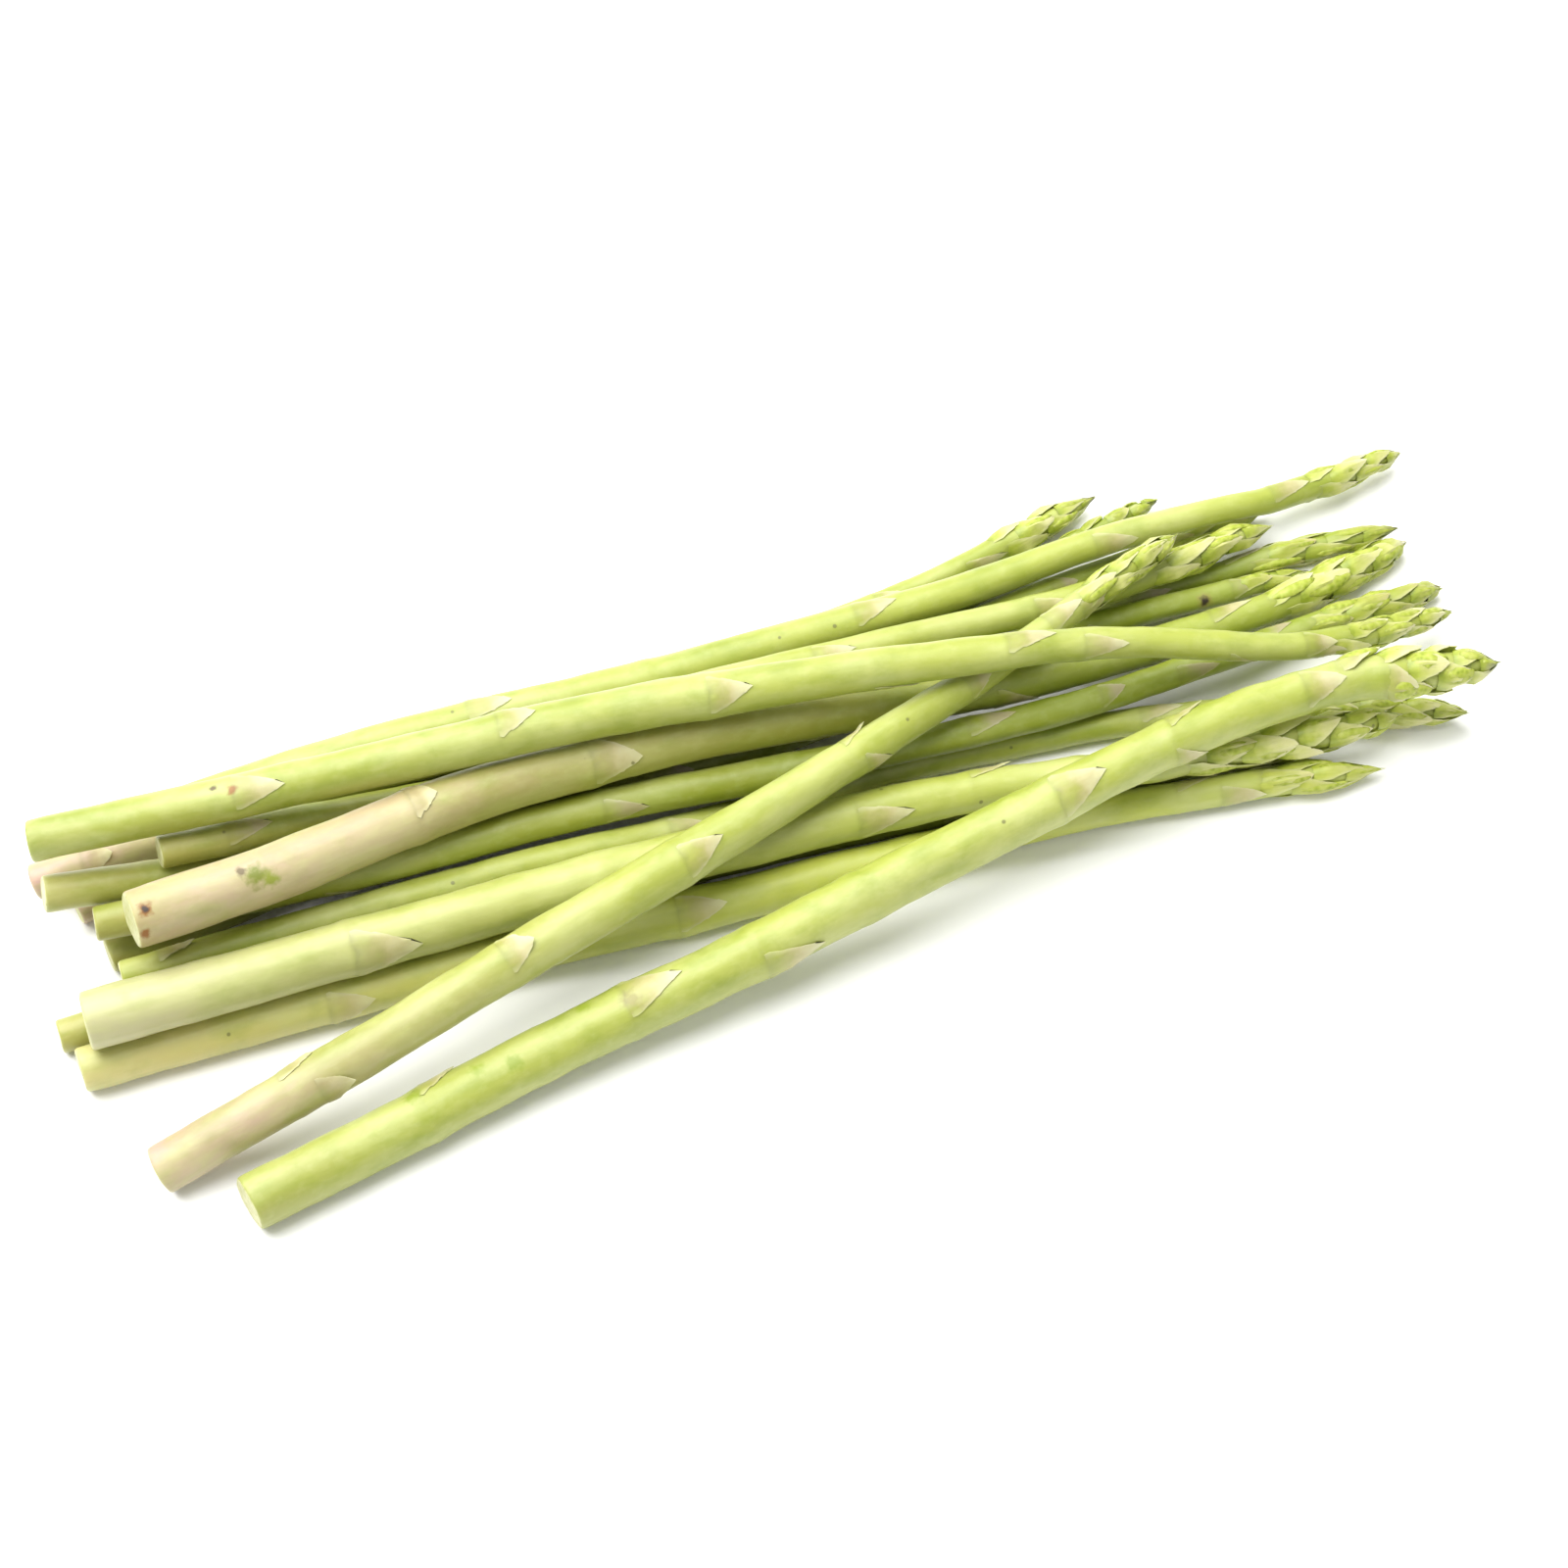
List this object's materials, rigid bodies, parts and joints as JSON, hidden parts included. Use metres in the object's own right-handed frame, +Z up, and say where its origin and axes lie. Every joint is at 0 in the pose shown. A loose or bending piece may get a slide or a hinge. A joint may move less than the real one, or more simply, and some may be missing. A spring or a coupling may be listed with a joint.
{
  "type": "bundle of asparagus",
  "caption": "Loose bundle of cut green asparagus spears lying crossed in a low pile, with the cut ends at one side and the scaly heads fanned out at the other.",
  "frame": {"origin": "on the surface that the bundle lies on, under the middle of its bounding box", "axes": "+X along the bundle from the cut ends to the heads, +Y across it towards the back, +Z up"},
  "size_m": [0.2662, 0.0976, 0.0302],
  "materials": {
    "green_spear": "fresh waxy skin, satin",
    "pale_spear": "fresh waxy skin, satin, cream towards the cut end",
    "olive_spear": "fresh waxy skin, satin, darker"
  },
  "bodies": {
    "root": {"spear_01_front": "green_spear", "spear_02_crossing": "green_spear", "spear_03_low_front": "pale_spear", "spear_04_tucked_under": "olive_spear", "spear_05_pale_thick": "pale_spear", "spear_06_long_slim": "green_spear", "spear_07_middle": "olive_spear", "spear_08_bent_pale": "pale_spear", "spear_09_olive": "olive_spear", "spear_10_short_cut": "green_spear", "spear_11_top": "green_spear", "spear_12_rear": "green_spear", "spear_13_pink_butt": "pale_spear", "spear_14_back_floor": "pale_spear", "spear_15_back_slim": "olive_spear", "spear_16_buried": "olive_spear"}
  },
  "joints": []
}
